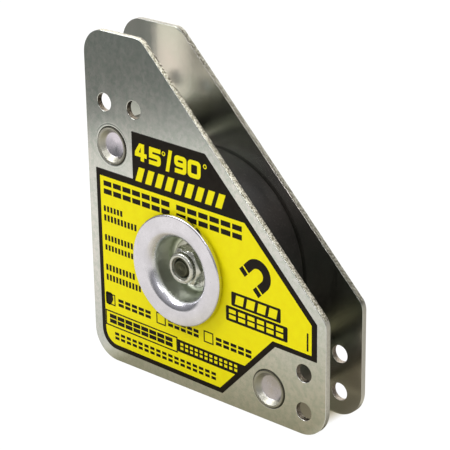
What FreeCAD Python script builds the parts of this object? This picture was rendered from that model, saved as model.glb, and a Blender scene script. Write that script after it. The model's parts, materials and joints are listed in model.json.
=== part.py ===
"""Magnetic welding square: two steel plates with a ring magnet clamped between them.

The object stands on the bottom edges of its plates. +Z is up, X runs along the
bottom edge and Y runs through the plates, with the labelled face towards -Y.
The origin is the middle of the bottom of the whole object's box.
"""
import FreeCAD, Part
import math
import os

import Sketcher

# Driving dimensions in millimetres: alias, size, meaning.
DIMENSIONS = (
    ("plate_width", 95.25, "length of the bottom edge of each plate"),
    ("plate_height", 109.54, "height of each plate"),
    ("plate_thickness", 1.9, "14 gauge steel sheet"),
    ("top_edge", 24.1, "length of the short top edge, up to the 45 degree edge"),
    ("corner_radius", 9.5, "radius of the two bottom corners"),
    ("top_corner_radius", 8.2, "radius of the square corner at the top"),
    ("slope_radius", 5.0, "radius at the two ends of the 45 degree edge"),
    ("edge_round", 0.3, "rounding of the outer face's outline"),
    ("hub_across", 38.5, "hub centre from the left edge"),
    ("hub_up", 40.0, "hub centre from the bottom edge"),
    ("hub_opening", 24.5, "diameter of the plates' hub opening, whose edge the cups' bends rest on"),
    ("pair_reach", 86.9, "distance of each pair of holes from the far edge"),
    ("pair_pitch", 12.5, "distance between the two holes of a pair"),
    ("upper_pair_start", 8.05, "first hole of the upper pair from the left edge"),
    ("lower_pair_start", 7.6, "first hole of the lower pair from the bottom edge"),
    ("pair_hole", 5.7, "diameter of the through holes"),
    ("post_near", 10.65, "post centre from the edge that it is near to"),
    ("post_far", 73.4, "post centre from the edge that it is far from"),
    ("post_diameter", 12.7, "diameter of a post between the plates"),
    ("post_tenon", 9.8, "diameter of a post where it passes a plate"),
    ("post_flare", 1.3, "width and depth of the flared seat in a plate"),
    ("post_lip", 0.3, "height of a post's swaged lip above the plate"),
    ("post_lip_bevel", 0.35, "bevel at the outside of the lip"),
    ("post_lip_width", 0.6, "width of the flat on the lip"),
    ("post_dish", 8.0, "diameter of the flat bottom of the dish in a post's end"),
    ("post_dish_depth", 1.7, "depth of the dish below the plate's face"),
    ("magnet_diameter", 70.0, "outside of the ring magnet"),
    ("magnet_bore", 32.0, "bore of the ring magnet"),
    ("magnet_thickness", 15.0, "thickness of the ring magnet, which is the plates' gap"),
    ("magnet_bevel", 0.8, "bevel on the magnet's edges"),
    ("cup_sheet", 1.6, "sheet thickness of the hub cups"),
    ("cup_flange", 35.7, "diameter of a hub cup's flange"),
    ("cup_mouth", 20.7, "inside diameter of a cup's wall at the flange"),
    ("cup_bottom", 19.2, "inside diameter of a cup's wall at the floor"),
    ("cup_height", 11.6, "height of a cup over its flange and floor"),
    ("cup_lift", 0.8, "height of a cup's flange over the face behind it"),
    ("cup_lip_bend", 3.6, "inside bend from the flange to the wall"),
    ("cup_floor_bend", 1.5, "inside bend from the wall to the floor"),
    ("cup_rim_round", 0.6, "rounding of the flange's rim"),
    ("cup_hole", 6.8, "diameter of the bolt hole in a cup's floor"),
    ("bolt_diameter", 6.35, "quarter inch bolt"),
    ("bolt_length", 12.7, "length of the bolt under its head"),
    ("bolt_head", 4.0, "height of the bolt's head"),
    ("bolt_bevel", 0.6, "bevel at the bolt's end"),
    ("hex_flats", 11.1, "hexagon across flats, bolt head and nut"),
    ("hex_bevel", 0.4, "corner bevel of the hexagons"),
    ("washer_diameter", 15.9, "outside of the flat washers"),
    ("washer_bore", 7.1, "bore of the flat washers"),
    ("washer_thickness", 1.6, "thickness of the flat washers"),
    ("nut_height", 6.0, "height of the lock nut over its collar"),
    ("nut_hex_height", 4.2, "height of the lock nut's hexagon"),
    ("nut_collar", 9.9, "diameter of the lock nut's collar"),
    ("nut_crimp", 8.7, "diameter of the collar's crimped top"),
    ("nut_crimp_drop", 0.7, "height of the collar's crimped shoulder"),
    ("nut_mouth", 7.3, "opening in the collar's crimped top"),
    ("nut_bore", 6.4, "bore of the lock nut"),
    ("insert_diameter", 8.2, "outside of the lock nut's nylon insert"),
    ("insert_height", 1.7, "height of the nylon insert"),
    ("insert_cover", 0.4, "thickness of the crimped top over the insert"),
    ("label_thickness", 0.2, "thickness of the vinyl label"),
    ("label_margin", 3.5, "bare metal between the label and the plate's edges"),
    ("label_top", 79.6, "label's top edge from the bottom edge"),
    ("label_step_across", 19.5, "label's upper left step from the left edge"),
    ("label_step_up", 64.8, "label's upper left step from the bottom edge"),
    ("label_foot", 55.0, "end of the label's bottom edge from the left edge"),
    ("label_notch_across", 76.1, "label's lower right notch from the left edge"),
    ("label_notch_up", 25.5, "label's lower right notch from the bottom edge"),
    ("label_radius", 6.0, "radius of the label's lower left corner"),
)
NEAR = 0.01                 # how close two measures of one edge are
FULL_TURN = 360.0
HEX_SIDES = 6
FACE_OUT = {"front": 90.0, "back": -90.0}   # turn about X that points a piece's own Z outwards

doc = FreeCAD.newDocument("welding_magnet_holder")
sheet = doc.addObject("Spreadsheet::Sheet", "Size")
for row, (alias, number, meaning) in enumerate(DIMENSIONS, start=1):
    sheet.set(f"A{row}", meaning)
    sheet.set(f"B{row}", str(number))
    sheet.setAlias(f"B{row}", alias)
doc.recompute()

HALF_GAP = "Size.magnet_thickness / 2"
MID_PLANE = "Size.label_thickness / 2"
HALF_WIDTH = "Size.plate_width / 2"
HUB = (f"Size.hub_across - {HALF_WIDTH}", "Size.hub_up")
subparts = []


def size(alias):
    """The number in one cell of the sheet."""
    return float(getattr(sheet, alias))


def new_body(name):
    """An empty body that will be written as one sub-part."""
    body = doc.addObject("PartDesign::Body", name)
    body.Label = name
    subparts.append(body)
    return body


def place(piece, across, depth, up, turn=0.0):
    """Stand a piece at three bound coordinates, turned about X."""
    piece.Placement = FreeCAD.Placement(FreeCAD.Vector(), FreeCAD.Rotation(FreeCAD.Vector(1, 0, 0), turn))
    for axis, expression in (("x", across), ("y", depth), ("z", up)):
        piece.setExpression(f"Placement.Base.{axis}", expression)


def sketch_on(body, name, role):
    """A sketch on one of the body's own origin planes."""
    plane = next(item for item in body.Origin.OriginFeatures if item.Role == role)
    sketch = body.newObject("Sketcher::SketchObject", name)
    sketch.AttachmentSupport = (plane, [""])
    sketch.MapMode = "FlatFace"
    return sketch


def pin(sketch, geometry, point, corner):
    """Tie one point of the sketch to a pair of bound coordinates."""
    for kind, axis, expression in (("DistanceX", -2, corner[0]), ("DistanceY", -1, corner[1])):
        if expression == "0":
            sketch.addConstraint(Sketcher.Constraint("PointOnObject", geometry, point, axis))
            continue
        index = sketch.addConstraint(Sketcher.Constraint(kind, geometry, point, 1.0))
        sketch.setExpression(f"Constraints[{index}]", expression)


def outline(body, name, role, corners):
    """A closed outline of straight sides with its corners at bound coordinates."""
    sketch = sketch_on(body, name, role)
    count = len(corners)
    turns = [2 * math.pi * number / count for number in range(count)]
    ring = [FreeCAD.Vector(2 + math.cos(turn), 2 + math.sin(turn), 0) for turn in turns]
    for number in range(count):
        sketch.addGeometry(Part.LineSegment(ring[number], ring[(number + 1) % count]), False)
    for number in range(count):
        sketch.addConstraint(Sketcher.Constraint("Coincident", number, 2, (number + 1) % count, 1))
    for number, corner in enumerate(corners):
        pin(sketch, number, 1, corner)
    return sketch


def circles(body, name, role, rounds):
    """Circles given as bound across, up and diameter."""
    sketch = sketch_on(body, name, role)
    for number, (across, up, diameter) in enumerate(rounds):
        sketch.addGeometry(Part.Circle(FreeCAD.Vector(1, 1, 0), FreeCAD.Vector(0, 0, 1), 1), False)
        pin(sketch, number, 3, (across, up))
        index = sketch.addConstraint(Sketcher.Constraint("Diameter", number, 2.0))
        sketch.setExpression(f"Constraints[{index}]", diameter)
    return sketch


def pad(body, name, sketch, length):
    feature = body.newObject("PartDesign::Pad", name)
    feature.Profile = sketch
    feature.setExpression("Length", length)
    doc.recompute()
    return feature


def pocket_through(body, name, sketch):
    """Cut the sketch through the pad that stands on the same plane."""
    before = body.Tip.Shape.Volume
    feature = body.newObject("PartDesign::Pocket", name)
    feature.Profile = sketch
    feature.Type = "ThroughAll"
    feature.Reversed = True
    doc.recompute()
    if feature.Shape.Volume > before - NEAR:
        raise RuntimeError(f"{name} cuts nothing")
    return feature


def revolve(body, name, corners):
    """Turn a profile of bound radius and height about the body's Z axis."""
    profile = outline(body, f"{name}_profile", "XZ_Plane", corners)
    feature = body.newObject("PartDesign::Revolution", name)
    feature.Profile = profile
    feature.ReferenceAxis = (profile, ["V_Axis"])
    feature.Angle = FULL_TURN
    doc.recompute()
    return feature


def groove(body, name, corners):
    """Turn a profile away from the body about its Z axis."""
    before = body.Tip.Shape.Volume
    profile = outline(body, f"{name}_profile", "XZ_Plane", corners)
    feature = body.newObject("PartDesign::Groove", name)
    feature.Profile = profile
    feature.ReferenceAxis = (profile, ["V_Axis"])
    feature.Angle = FULL_TURN
    doc.recompute()
    if feature.Shape.Volume > before - NEAR:
        raise RuntimeError(f"{name} cuts nothing")
    return feature


def dress(body, kind, name, amount, wanted):
    """Fillet or chamfer the edges of the body's tip that pass a test."""
    base = body.Tip
    edges = [f"Edge{number}" for number, edge in enumerate(base.Shape.Edges, start=1) if wanted(edge)]
    if not edges:
        raise RuntimeError(f"{name} finds no edges")
    feature = body.newObject(f"PartDesign::{kind}", name)
    feature.Base = (base, edges)
    feature.setExpression("Radius" if kind == "Fillet" else "Size", amount)
    doc.recompute()
    return feature


def is_ring(diameter, height):
    """Test for a full circle of a diameter, at a height on the body's Z axis."""
    def wanted(edge):
        curve = edge.Curve
        return (isinstance(curve, Part.Circle) and abs(2 * curve.Radius - diameter) < NEAR
                and abs(curve.Center.z - height) < NEAR)
    return wanted


def is_corner(points):
    """Test for a straight edge through the sheet's thickness at one of the points."""
    def wanted(edge):
        box = edge.BoundBox
        if box.XLength > NEAR or box.ZLength > NEAR:
            return False
        return any(math.hypot(box.XMin - x, box.ZMin - z) < NEAR for x, z in points)
    return wanted


def make_plate(name, depth, outer_face):
    """One plate: a rectangle with its upper right half cut away at 45 degrees."""
    body = new_body(name)
    slope_end = "Size.plate_height - Size.plate_width + Size.top_edge"
    corners = (("0", "0"), ("Size.plate_width", "0"), ("Size.plate_width", slope_end),
               ("Size.top_edge", "Size.plate_height"), ("0", "Size.plate_height"))
    blank = outline(body, f"{name}_outline", "XZ_Plane", corners)
    pad(body, f"{name}_blank", blank, "Size.plate_thickness")
    width, height, top = size("plate_width"), size("plate_height"), size("top_edge")
    bottom = ((0, 0), (width, 0))
    slope = ((width, height - width + top), (top, height))
    dress(body, "Fillet", f"{name}_corners", "Size.corner_radius", is_corner(bottom))
    dress(body, "Fillet", f"{name}_top_corner", "Size.top_corner_radius", is_corner(((0, height),)))
    dress(body, "Fillet", f"{name}_slope_ends", "Size.slope_radius", is_corner(slope))
    face_y = {"front": -size("plate_thickness"), "back": 0.0}[outer_face]

    def on_outer_face(edge):
        return abs(edge.BoundBox.YMin - face_y) < NEAR and edge.BoundBox.YLength < NEAR

    dress(body, "Fillet", f"{name}_edge", "Size.edge_round", on_outer_face)
    posts = (("Size.post_near", "Size.post_far"), ("Size.post_far", "Size.post_near"))
    seats = circles(body, f"{name}_post_circles", "XZ_Plane", [spot + ("Size.post_tenon",) for spot in posts])
    pocket_through(body, f"{name}_post_holes", seats)

    def on_post_rim(edge):
        round_edge = isinstance(edge.Curve, Part.Circle) and abs(2 * edge.Curve.Radius - size("post_tenon")) < NEAR
        return round_edge and on_outer_face(edge)

    dress(body, "Chamfer", f"{name}_post_seats", "Size.post_flare", on_post_rim)
    rounds = [("Size.hub_across", "Size.hub_up", "Size.hub_opening")]
    for step in ("0", "Size.pair_pitch"):
        rounds.append((f"Size.upper_pair_start + {step}", "Size.pair_reach", "Size.pair_hole"))
        rounds.append(("Size.pair_reach", f"Size.lower_pair_start + {step}", "Size.pair_hole"))
    pocket_through(body, f"{name}_holes", circles(body, f"{name}_hole_circles", "XZ_Plane", rounds))
    place(body, f"-{HALF_WIDTH}", depth, "0")


def make_label():
    """The thin vinyl label, with steps that clear the posts and the through holes."""
    body = new_body("front_label")
    right = "Size.plate_width - Size.label_margin"
    slope_sum = "Size.top_edge + Size.plate_height - Size.label_margin * sqrt(2)"
    corners = (("Size.label_margin", "Size.label_margin"), ("Size.label_foot", "Size.label_margin"),
               ("Size.label_notch_across", "Size.label_notch_up"), (right, "Size.label_notch_up"),
               (right, f"{slope_sum} - ({right})"), (f"{slope_sum} - Size.label_top", "Size.label_top"),
               ("Size.label_step_across", "Size.label_top"), ("Size.label_step_across", "Size.label_step_up"),
               ("Size.label_margin", "Size.label_step_up"))
    sheet_outline = outline(body, "label_outline", "XZ_Plane", corners)
    pad(body, "label_sheet", sheet_outline, "Size.label_thickness")
    margin = size("label_margin")
    dress(body, "Fillet", "label_corner", "Size.label_radius", is_corner(((margin, margin),)))
    hub = [("Size.hub_across", "Size.hub_up", "Size.hub_opening")]
    pocket_through(body, "label_opening", circles(body, "label_hub_circle", "XZ_Plane", hub))
    place(body, f"-{HALF_WIDTH}", f"{MID_PLANE} - {HALF_GAP} - Size.plate_thickness", "0")


def make_ring(name, outside, bore, thickness, depth, bevel=None):
    """A flat ring on the hub's axis that grows from the given depth towards -Y."""
    body = new_body(name)
    inner, outer = f"{bore} / 2", f"{outside} / 2"
    profile = ((inner, "0"), (outer, "0"), (outer, thickness), (inner, thickness))
    ring = revolve(body, f"{name}_ring", profile)
    if bevel:
        dress(body, "Chamfer", f"{name}_bevels", bevel, lambda edge: isinstance(edge.Curve, Part.Circle))
    place(body, HUB[0], depth, HUB[1], FACE_OUT["front"])
    return ring


def make_cup(name, side, depth):
    """A drawn hub cup: a flange over the plate and a tapered wall down to a drilled floor."""
    body = new_body(name)
    skin = "Size.cup_sheet"
    mouth, bottom, flange = "Size.cup_mouth / 2", "Size.cup_bottom / 2", "Size.cup_flange / 2"
    profile = (("Size.cup_hole / 2", "0"), (f"{bottom} + {skin}", "0"),
               (f"{mouth} + {skin}", f"Size.cup_height - {skin}"), (flange, f"Size.cup_height - {skin}"),
               (flange, "Size.cup_height"), (mouth, "Size.cup_height"),
               (bottom, skin), ("Size.cup_hole / 2", skin))
    revolve(body, f"{name}_shell", profile)
    thick, height = size("cup_sheet"), size("cup_height")
    bends = (("lip_inside", "Size.cup_lip_bend", size("cup_mouth"), height),
             ("lip_outside", f"Size.cup_lip_bend - {skin}", size("cup_mouth") + 2 * thick, height - thick),
             ("floor_inside", "Size.cup_floor_bend", size("cup_bottom"), thick),
             ("floor_outside", f"Size.cup_floor_bend + {skin}", size("cup_bottom") + 2 * thick, 0.0),
             ("rim", "Size.cup_rim_round", size("cup_flange"), height))
    for bend, radius, diameter, level in bends:
        dress(body, "Fillet", f"{name}_{bend}", radius, is_ring(diameter, level))
    place(body, HUB[0], depth, HUB[1], FACE_OUT[side])


def add_hexagon(body, name, tall, bevel_base):
    """A hexagonal prism along the body's Z axis with bevelled corners at its top, and its base too."""
    plane = next(item for item in body.Origin.OriginFeatures if item.Role == "XY_Plane")
    prism = body.newObject("PartDesign::AdditivePrism", name)
    prism.AttachmentSupport = (plane, [""])
    prism.MapMode = "FlatFace"
    prism.Polygon = HEX_SIDES
    prism.setExpression("Circumradius", "Size.hex_flats / sqrt(3)")
    prism.setExpression("Height", tall)
    doc.recompute()
    flat, corner, clear = "Size.hex_flats / 2", "Size.hex_flats / sqrt(3)", "Size.hex_flats"
    drop = "Size.hex_bevel"
    groove(body, f"{name}_top_bevel",
           ((flat, tall), (corner, f"{tall} - {drop}"), (clear, f"{tall} - {drop}"), (clear, tall)))
    if bevel_base:
        groove(body, f"{name}_base_bevel", ((flat, "0"), (corner, drop), (clear, drop), (clear, "0")))


def make_bolt():
    """A quarter inch hexagon bolt: its head in the back cup and its shank through both cups."""
    body = new_body("clamp_bolt")
    add_hexagon(body, "bolt_head", "Size.bolt_head", False)
    radius, reach = "Size.bolt_diameter / 2", "Size.bolt_head + Size.bolt_length"
    shank = (("0", "0"), (radius, "0"), (radius, f"{reach} - Size.bolt_bevel"),
             (f"{radius} - Size.bolt_bevel", reach), ("0", reach))
    revolve(body, "bolt_shank", shank)
    head_back = f"{MID_PLANE} + {BACK_FLOOR} + Size.washer_thickness + Size.bolt_head"
    place(body, HUB[0], head_back, HUB[1], FACE_OUT["front"])


def make_nut():
    """A lock nut: a hexagon with a crimped collar that holds a nylon insert."""
    body = new_body("lock_nut")
    add_hexagon(body, "nut_hexagon", "Size.nut_hex_height", True)
    collar = "Size.nut_collar / 2"
    crown = (("0", "0"), (collar, "0"), (collar, "Size.nut_height - Size.nut_crimp_drop"),
             ("Size.nut_crimp / 2", "Size.nut_height"), ("0", "Size.nut_height"))
    revolve(body, "nut_collar", crown)
    bore, pocket, mouth = "Size.nut_bore / 2", "Size.insert_diameter / 2", "Size.nut_mouth / 2"
    ledge = "Size.nut_height - Size.insert_cover"
    shelf = f"{ledge} - Size.insert_height"
    hollow = (("0", "0"), (bore, "0"), (bore, shelf), (pocket, shelf), (pocket, ledge), (mouth, ledge),
              (mouth, "Size.nut_height"), ("0", "Size.nut_height"))
    groove(body, "nut_hollow", hollow)
    place(body, HUB[0], NUT_SEAT, HUB[1], FACE_OUT["front"])


def make_post(name, across, up):
    """A spacer post between the plates, its ends swaged out into the plates' flared seats."""
    body = new_body(name)
    half, sheet_top = HALF_GAP, f"{HALF_GAP} + Size.plate_thickness"
    tenon, flare = "Size.post_tenon / 2", "Size.post_flare"
    seat = f"{tenon} + {flare}"
    lip = f"{sheet_top} + Size.post_lip"
    dish = f"{sheet_top} - Size.post_dish_depth"
    profile = (("0", "0"), ("Size.post_diameter / 2", "0"), ("Size.post_diameter / 2", half), (tenon, half),
               (tenon, f"{sheet_top} - {flare}"), (seat, sheet_top), (f"{seat} - Size.post_lip_bevel", lip),
               (f"{seat} - Size.post_lip_bevel - Size.post_lip_width", lip),
               ("Size.post_dish / 2", dish), ("0", dish))
    end = revolve(body, f"{name}_end", profile)
    mirror = body.newObject("PartDesign::Mirrored", f"{name}_other_end")
    mirror.Originals = [end]
    middle = next(item for item in body.Origin.OriginFeatures if item.Role == "XY_Plane")
    mirror.MirrorPlane = (middle, [""])
    body.Tip = mirror
    doc.recompute()
    if mirror.Shape.Volume < 2 * end.Shape.Volume - NEAR:
        raise RuntimeError(f"{name} is not mirrored")
    place(body, f"{across} - {HALF_WIDTH}", MID_PLANE, up, FACE_OUT["front"])


# Depths along Y, measured from the middle of the magnet.
FRONT_SEAT = f"({HALF_GAP} + Size.plate_thickness + Size.label_thickness + Size.cup_lift)"
BACK_SEAT = f"({HALF_GAP} + Size.plate_thickness + Size.cup_lift)"
CUP_REACH = "(Size.cup_height - Size.cup_sheet)"
FRONT_FLOOR = f"({FRONT_SEAT} - {CUP_REACH} + Size.cup_sheet)"
BACK_FLOOR = f"({BACK_SEAT} - {CUP_REACH} + Size.cup_sheet)"
NUT_SEAT = f"{MID_PLANE} - {FRONT_FLOOR} - Size.washer_thickness"

make_plate("front_plate", f"{MID_PLANE} - {HALF_GAP}", "front")
make_plate("back_plate", f"{MID_PLANE} + {HALF_GAP} + Size.plate_thickness", "back")
make_ring("ring_magnet", "Size.magnet_diameter", "Size.magnet_bore", "Size.magnet_thickness",
          f"{MID_PLANE} + {HALF_GAP}", "Size.magnet_bevel")
make_post("upper_post", "Size.post_near", "Size.post_far")
make_post("lower_post", "Size.post_far", "Size.post_near")
make_label()
make_cup("front_cup", "front", f"{MID_PLANE} - {FRONT_SEAT} + {CUP_REACH}")
make_cup("back_cup", "back", f"{MID_PLANE} + {BACK_SEAT} - {CUP_REACH}")
make_ring("nut_washer", "Size.washer_diameter", "Size.washer_bore", "Size.washer_thickness",
          f"{MID_PLANE} - {FRONT_FLOOR}")
make_ring("head_washer", "Size.washer_diameter", "Size.washer_bore", "Size.washer_thickness",
          f"{MID_PLANE} + {BACK_FLOOR} + Size.washer_thickness")
make_bolt()
make_nut()
make_ring("nut_insert", "Size.insert_diameter", "Size.nut_bore", "Size.insert_height",
          f"{NUT_SEAT} - Size.nut_height + Size.insert_cover + Size.insert_height")
doc.recompute()

for item in doc.Objects:
    if "Invalid" in item.State or "Error" in item.State:
        raise RuntimeError(f"{item.Label} did not compute: {item.State}")
for subpart in subparts:
    if subpart.Shape.isNull() or not subpart.Shape.isValid():
        raise RuntimeError(f"{subpart.Label} has no valid shape")
os.makedirs("parts", exist_ok=True)
for subpart in subparts:
    subpart.Shape.exportStep(os.path.join("parts", f"{subpart.Label}.step"))
    box = subpart.Shape.BoundBox
    print(f"{subpart.Label}: volume {subpart.Shape.Volume:.1f} mm3, solids {len(subpart.Shape.Solids)}, "
          f"x {box.XMin:.2f} to {box.XMax:.2f}, y {box.YMin:.2f} to {box.YMax:.2f}, "
          f"z {box.ZMin:.2f} to {box.ZMax:.2f}")
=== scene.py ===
"""Looks of a 45 and 90 degree magnetic welding holder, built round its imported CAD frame.

Lengths are in metres. X runs along the bottom edge, Z up, and the labelled face looks along -Y.
"""
import json
import math

import bmesh
import bpy
from mathutils import Matrix, Vector


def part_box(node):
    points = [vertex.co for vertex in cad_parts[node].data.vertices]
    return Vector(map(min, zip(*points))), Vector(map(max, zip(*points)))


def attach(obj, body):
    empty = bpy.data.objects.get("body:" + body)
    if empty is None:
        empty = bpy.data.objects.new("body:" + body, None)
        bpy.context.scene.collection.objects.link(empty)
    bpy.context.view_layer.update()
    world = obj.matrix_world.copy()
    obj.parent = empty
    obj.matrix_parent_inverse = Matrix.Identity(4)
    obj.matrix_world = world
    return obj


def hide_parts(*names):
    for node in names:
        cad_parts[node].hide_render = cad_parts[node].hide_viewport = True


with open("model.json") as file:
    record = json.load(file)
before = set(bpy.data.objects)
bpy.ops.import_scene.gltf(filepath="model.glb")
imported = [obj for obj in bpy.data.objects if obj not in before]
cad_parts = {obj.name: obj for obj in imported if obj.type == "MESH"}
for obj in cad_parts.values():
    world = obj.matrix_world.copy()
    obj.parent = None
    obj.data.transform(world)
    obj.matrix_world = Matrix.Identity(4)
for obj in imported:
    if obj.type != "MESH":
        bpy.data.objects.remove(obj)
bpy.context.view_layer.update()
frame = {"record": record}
MM = 0.001
TURN = 2 * math.pi

# ---------------------------------------------------------------- places, read from the CAD frame


def middle(node):
    """Centre of a CAD node in the XZ plane."""
    low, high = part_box(node)
    return Vector(((low.x + high.x) / 2, (low.z + high.z) / 2))


def depths(node):
    """Lowest and highest Y of a CAD node."""
    low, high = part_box(node)
    return low.y, high.y


def width(node):
    """Size of a CAD node along X."""
    low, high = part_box(node)
    return high.x - low.x


PLATE_LOW, PLATE_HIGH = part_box("front_plate")
CORNER = Vector((PLATE_LOW.x, PLATE_LOW.z))           # the plates' lower left corner
WIDE, TALL = PLATE_HIGH.x - PLATE_LOW.x, PLATE_HIGH.z - PLATE_LOW.z
HUB = middle("ring_magnet")
MOUNTS = {mount["name"]: mount for mount in frame["record"]["mounts"]}

TOP_EDGE = 24.1 * MM
CORNER_ROUND, TOP_CORNER_ROUND = 9.5 * MM, 8.2 * MM
SLOPE_ROUND = 5.0 * MM
HUB_HOLE = 12.25 * MM
SHEET = 1.6 * MM                                      # the cups' sheet
BOLT_HEAD = 4.0 * MM
HEX_FLATS = 11.1 * MM                                 # nut and bolt head, across flats
POST_SEAT = 4.95 * MM                                 # radius of the plates' holes for the posts
FACE_ROLL = 0.22 * MM
INNER_ROLL = 0.12 * MM
HOLE_ROLL = 0.2 * MM


# ---------------------------------------------------------------- outlines

def fillet(corners, closed=True, fine=math.radians(7.5)):
    """A polyline through (u, v, radius) corners, with each corner rounded by a tangent arc."""
    points = []
    count = len(corners)
    for index, (u, v, radius) in enumerate(corners):
        here = Vector((u, v))
        end = not closed and index in (0, count - 1)
        if radius <= 0 or end:
            points.append(here)
            continue
        before = Vector(corners[index - 1][:2]) - here
        after = Vector(corners[(index + 1) % count][:2]) - here
        before.normalize()
        after.normalize()
        opening = before.angle(after)
        reach = radius / math.tan(opening / 2)
        centre = here + (before + after).normalized() * (radius / math.sin(opening / 2))
        start, stop = here + before * reach - centre, here + after * reach - centre
        sweep = math.pi - opening
        steps = max(2, math.ceil(sweep / fine))
        way = 1 if start.x * stop.y - start.y * stop.x > 0 else -1
        for step in range(steps + 1):
            turn = Matrix.Rotation(way * sweep * step / steps, 2)
            points.append(centre + turn @ start)
    return points


def ring(centre, radius, sides=72, clockwise=False):
    """Points of a circle."""
    way = -1 if clockwise else 1
    return [centre + radius * Vector((math.cos(way * TURN * k / sides), math.sin(way * TURN * k / sides)))
            for k in range(sides)]


def inset(loop, distance):
    """A closed loop moved to its left by a distance, mitred at its corners."""
    moved = []
    for before, here, after in zip(loop[-1:] + loop[:-1], loop, loop[1:] + loop[:1]):
        one, two = (here - before).normalized(), (after - here).normalized()
        side = Vector((-one.y - two.y, one.x + two.x))
        moved.append(here + side * (2 * distance / side.length_squared))
    return moved


def area(loop):
    """Signed area of a closed loop, positive when it runs anticlockwise."""
    return sum(a.x * b.y - a.y * b.x for a, b in zip(loop, loop[1:] + loop[:1])) / 2


# ---------------------------------------------------------------- solids

def finish_piece(name, mesh, material, stands_for=(), crease=35, weighted=False):
    """Turns a bmesh into a smooth-shaded object that rides on the frame."""
    bmesh.ops.recalc_face_normals(mesh, faces=mesh.faces)
    data = bpy.data.meshes.new(name)
    mesh.to_mesh(data)
    mesh.free()
    data.shade_smooth()
    data.set_sharp_from_angle(angle=math.radians(crease))
    data.materials.append(material)
    piece = bpy.data.objects.new(name, data)
    bpy.context.scene.collection.objects.link(piece)
    if weighted:
        normals = piece.modifiers.new("normals", "WEIGHTED_NORMAL")
        normals.mode = "FACE_AREA"
        normals.weight = 100
        normals.keep_sharp = True
    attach(piece, "root")
    if stands_for:
        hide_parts(*stands_for)
    return piece


def bridge(mesh, one, two):
    """Quads between two closed rings of vertices."""
    count = len(one)
    for k in range(count):
        mesh.faces.new((one[k], one[(k + 1) % count], two[(k + 1) % count], two[k]))


def cap(mesh, rings):
    """Fills a flat face bounded by several rings of vertices."""
    edges = []
    for vertices in rings:
        for a, b in zip(vertices, vertices[1:] + vertices[:1]):
            edges.append(mesh.edges.get((a, b)) or mesh.edges.new((a, b)))
    bmesh.ops.triangle_fill(mesh, edges=edges, use_beauty=True)


def roll(radius, steps=5):
    """(inset, depth) pairs of a quarter round, from the face to the wall."""
    if radius <= 0:
        return [(0.0, 0.0)]
    return [(radius * (1 - math.sin(a)), radius * (1 - math.cos(a)))
            for a in (math.pi / 2 * k / steps for k in range(steps + 1))]


def sheet(mesh, loops, face, back):
    """A flat sheet between two Y planes. Each loop is (points, face profile, back profile).

    A profile is (inset, depth) pairs from the flat to the wall. Outer loops run anticlockwise and holes clockwise.
    """
    way = 1 if back > face else -1
    fronts, backs = [], []
    for points, face_profile, back_profile in loops:
        levels = [(shift, face + way * drop) for shift, drop in face_profile]
        levels += [(shift, back - way * drop) for shift, drop in reversed(back_profile)]
        rings = []
        for shift, y in levels:
            loop = inset(points, shift) if shift else points
            rings.append([mesh.verts.new((p.x, y, p.y)) for p in loop])
        for one, two in zip(rings, rings[1:]):
            bridge(mesh, one, two)
        fronts.append(rings[0])
        backs.append(rings[-1])
    cap(mesh, fronts)
    cap(mesh, backs)


def turned(mesh, profile, centre, sides=128, closed=True):
    """A profile of (radius, y) points turned about the Y axis through centre."""
    rings = []
    for radius, y in profile:
        if radius < 1e-7:
            rings.append([mesh.verts.new((centre.x, y, centre.y))])
        else:
            rings.append([mesh.verts.new((p.x, y, p.y)) for p in ring(centre, radius, sides)])
    pairs = list(zip(rings, rings[1:] + rings[:1] if closed else rings[1:]))
    for one, two in pairs:
        if len(one) == 1 and len(two) == 1:
            continue
        if len(one) == 1 or len(two) == 1:
            pole, rim = (one[0], two) if len(one) == 1 else (two[0], one)
            for a, b in zip(rim, rim[1:] + rim[:1]):
                mesh.faces.new((pole, a, b))
        else:
            bridge(mesh, one, two)


def profile_mm(corners, y0, way=1, fine=math.radians(10)):
    """Rounded (radius, y) points from (radius, depth, fillet) corners in millimetres, depth counted from y0."""
    scaled = [(r * MM, d * MM, f * MM) for r, d, f in corners]
    return [(p.x, y0 + way * p.y) for p in fillet(scaled, fine=fine)]


# ---------------------------------------------------------------- shader nodes

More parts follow.
